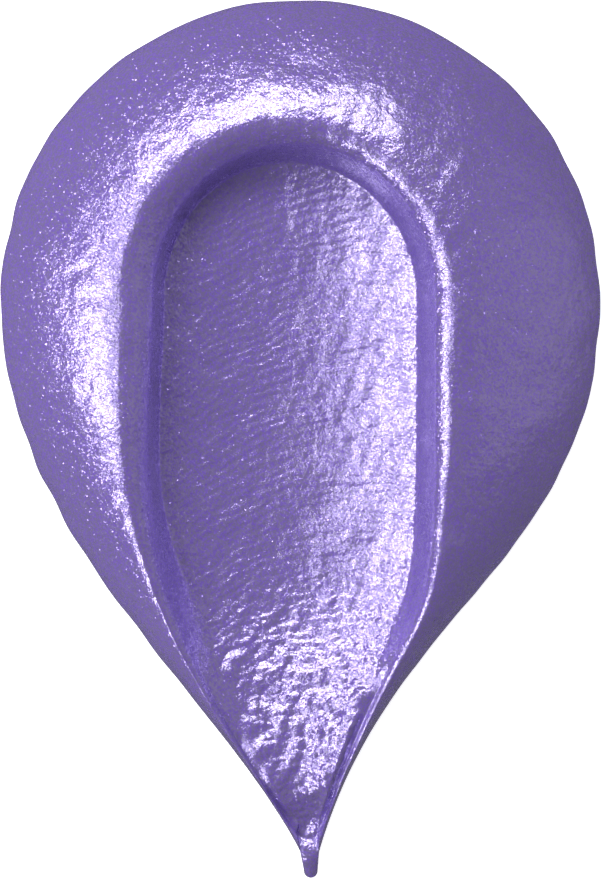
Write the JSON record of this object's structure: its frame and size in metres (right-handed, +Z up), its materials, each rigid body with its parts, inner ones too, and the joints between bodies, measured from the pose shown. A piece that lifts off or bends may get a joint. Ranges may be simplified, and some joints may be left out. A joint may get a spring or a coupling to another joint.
{
  "type": "paint smear",
  "caption": "Dollop of thick violet pearl paint, round at the head and pointed at the tail, with a smooth trough drawn through it by a palette knife.",
  "frame": {"origin": "middle of the footprint, on the surface the paint lies on", "axes": "+Y from the pointed tail towards the round head, +Z up off the surface, +X to the right seen from above with the head away"},
  "size_m": [0.0419, 0.0614, 0.0067],
  "materials": {
    "paint": "wet gloss acrylic with mica pearl flakes all through it"
  },
  "bodies": {
    "root": {"paint_body": "paint"}
  },
  "joints": []
}
